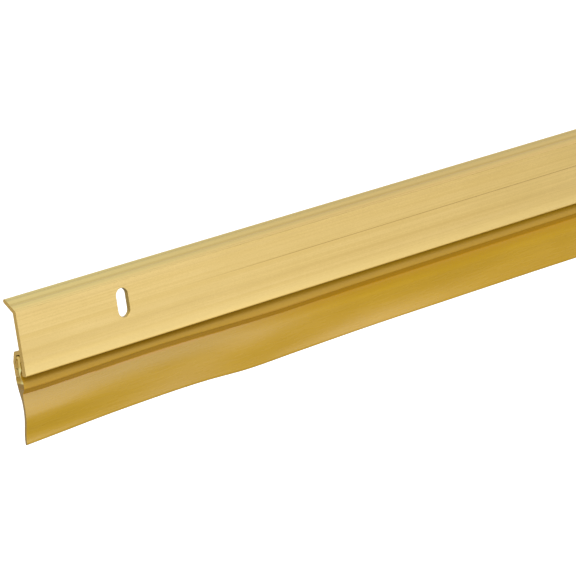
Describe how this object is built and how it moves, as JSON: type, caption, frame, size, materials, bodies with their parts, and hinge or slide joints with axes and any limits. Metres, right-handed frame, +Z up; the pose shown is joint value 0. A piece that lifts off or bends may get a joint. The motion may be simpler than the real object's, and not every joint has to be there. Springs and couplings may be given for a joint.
{
  "type": "door bottom sweep",
  "caption": "Straight gold aluminium strip with an angled top lip, upright screw slots and a rear pocket that holds a flexible vinyl fin to seal under a door.",
  "frame": {"origin": "on the door plane, at mid-length, at mid-height of the flat pad behind the pocket", "axes": "+X along the strip, +Y towards the door, +Z up; the face looks towards -Y"},
  "size_m": [0.9144, 0.0078, 0.045],
  "materials": {
    "gold_aluminium": "bright gold anodised, fine lengthwise die lines",
    "rigid_vinyl": "semi-gloss rigid vinyl",
    "flexible_vinyl": "smooth flexible vinyl with a soft sheen"
  },
  "bodies": {
    "carrier": {"carrier": "gold_aluminium"},
    "insert": {"vinyl_root": "rigid_vinyl"},
    "fin": {"vinyl_fin": "flexible_vinyl"}
  },
  "joints": [
    {"name": "insert_slide", "type": "slide", "parent": "carrier", "child": "insert", "axis": [1, 0, 0], "range_m": [0, 0.9144]},
    {"name": "fin_flex", "type": "hinge", "parent": "insert", "child": "fin", "pos_m": [0, -0.00135, -0.00655], "axis": [1, 0, 0], "range_deg": [-40, 40], "stiffness_Nm_per_rad": 0.2}
  ]
}
